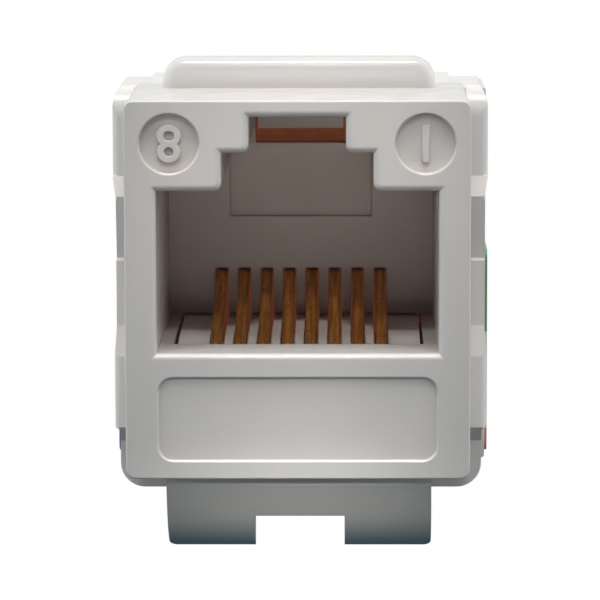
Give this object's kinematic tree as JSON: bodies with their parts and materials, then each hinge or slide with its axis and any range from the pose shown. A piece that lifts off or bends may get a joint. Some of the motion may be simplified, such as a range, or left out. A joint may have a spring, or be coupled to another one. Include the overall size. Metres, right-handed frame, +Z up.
{
  "type": "keystone jack",
  "caption": "Keystone network jack with a modular plug port, fixed lug, flexible latch, spring contacts and punch-down wire slots at the back under two pull-off caps.",
  "frame": {"origin": "centre of the nose's front face, in the plane of the face", "axes": "+X to the right seen from the front, +Y from the front face to the back, +Z up, with the clip slot of the port upwards and the latch below"},
  "size_m": [0.0172, 0.0299, 0.0216],
  "materials": {
    "housing_plastic": "moulded light grey-white, satin gloss",
    "cap_plastic": "moulded white, satin gloss",
    "insert_plastic": "moulded off-white, fine grain",
    "board_laminate": "amber glass laminate, drilled",
    "contact_gold": "gold-flashed spring bronze wire",
    "clip_tin": "tinned phosphor bronze strip",
    "label_film": "printed label film with fields of colour"
  },
  "bodies": {
    "housing": {"front_housing": "housing_plastic", "terminal_block": "housing_plastic", "contact_carrier": "insert_plastic", "circuit_board": "board_laminate", "wiring_label_left": "label_film", "wiring_label_right": "label_film", "contact_lead_1": "contact_gold", "contact_lead_2": "contact_gold", "contact_lead_3": "contact_gold", "contact_lead_4": "contact_gold", "contact_lead_5": "contact_gold", "contact_lead_6": "contact_gold", "contact_lead_7": "contact_gold", "contact_lead_8": "contact_gold", "idc_clip_left_1": "clip_tin", "idc_clip_left_2": "clip_tin", "idc_clip_left_3": "clip_tin", "idc_clip_left_4": "clip_tin", "idc_clip_right_1": "clip_tin", "idc_clip_right_2": "clip_tin", "idc_clip_right_3": "clip_tin", "idc_clip_right_4": "clip_tin"},
    "latch": {"flex_latch": "housing_plastic"},
    "cap_left": {"wire_cap_left": "cap_plastic"},
    "cap_right": {"wire_cap_right": "cap_plastic"},
    "spring_1": {"contact_spring_1": "contact_gold"},
    "spring_2": {"contact_spring_2": "contact_gold"},
    "spring_3": {"contact_spring_3": "contact_gold"},
    "spring_4": {"contact_spring_4": "contact_gold"},
    "spring_5": {"contact_spring_5": "contact_gold"},
    "spring_6": {"contact_spring_6": "contact_gold"},
    "spring_7": {"contact_spring_7": "contact_gold"},
    "spring_8": {"contact_spring_8": "contact_gold"}
  },
  "joints": [
    {"name": "latch_press", "type": "hinge", "parent": "housing", "child": "latch", "pos_m": [0, 0.0033, -0.0084], "axis": [1, 0, 0], "range_deg": [0, 18], "stiffness_Nm_per_rad": 0.18},
    {"name": "cap_left_pull", "type": "slide", "parent": "housing", "child": "cap_left", "axis": [0, 1, 0], "range_m": [0, 0.009]},
    {"name": "cap_right_pull", "type": "slide", "parent": "housing", "child": "cap_right", "axis": [0, 1, 0], "range_m": [0, 0.009]},
    {"name": "contact_1_flex", "type": "hinge", "parent": "housing", "child": "spring_1", "pos_m": [-0.00356, 0.00385, -0.00295], "axis": [-1, 0, 0], "range_deg": [0, 9], "stiffness_Nm_per_rad": 0.03},
    {"name": "contact_2_flex", "type": "hinge", "parent": "housing", "child": "spring_2", "pos_m": [-0.00254, 0.00385, -0.00295], "axis": [-1, 0, 0], "range_deg": [0, 9], "stiffness_Nm_per_rad": 0.03},
    {"name": "contact_3_flex", "type": "hinge", "parent": "housing", "child": "spring_3", "pos_m": [-0.00152, 0.00385, -0.00295], "axis": [-1, 0, 0], "range_deg": [0, 9], "stiffness_Nm_per_rad": 0.03},
    {"name": "contact_4_flex", "type": "hinge", "parent": "housing", "child": "spring_4", "pos_m": [-0.00051, 0.00385, -0.00295], "axis": [-1, 0, 0], "range_deg": [0, 9], "stiffness_Nm_per_rad": 0.03},
    {"name": "contact_5_flex", "type": "hinge", "parent": "housing", "child": "spring_5", "pos_m": [0.00051, 0.00385, -0.00295], "axis": [-1, 0, 0], "range_deg": [0, 9], "stiffness_Nm_per_rad": 0.03},
    {"name": "contact_6_flex", "type": "hinge", "parent": "housing", "child": "spring_6", "pos_m": [0.00152, 0.00385, -0.00295], "axis": [-1, 0, 0], "range_deg": [0, 9], "stiffness_Nm_per_rad": 0.03},
    {"name": "contact_7_flex", "type": "hinge", "parent": "housing", "child": "spring_7", "pos_m": [0.00254, 0.00385, -0.00295], "axis": [-1, 0, 0], "range_deg": [0, 9], "stiffness_Nm_per_rad": 0.03},
    {"name": "contact_8_flex", "type": "hinge", "parent": "housing", "child": "spring_8", "pos_m": [0.00356, 0.00385, -0.00295], "axis": [-1, 0, 0], "range_deg": [0, 9], "stiffness_Nm_per_rad": 0.03}
  ]
}
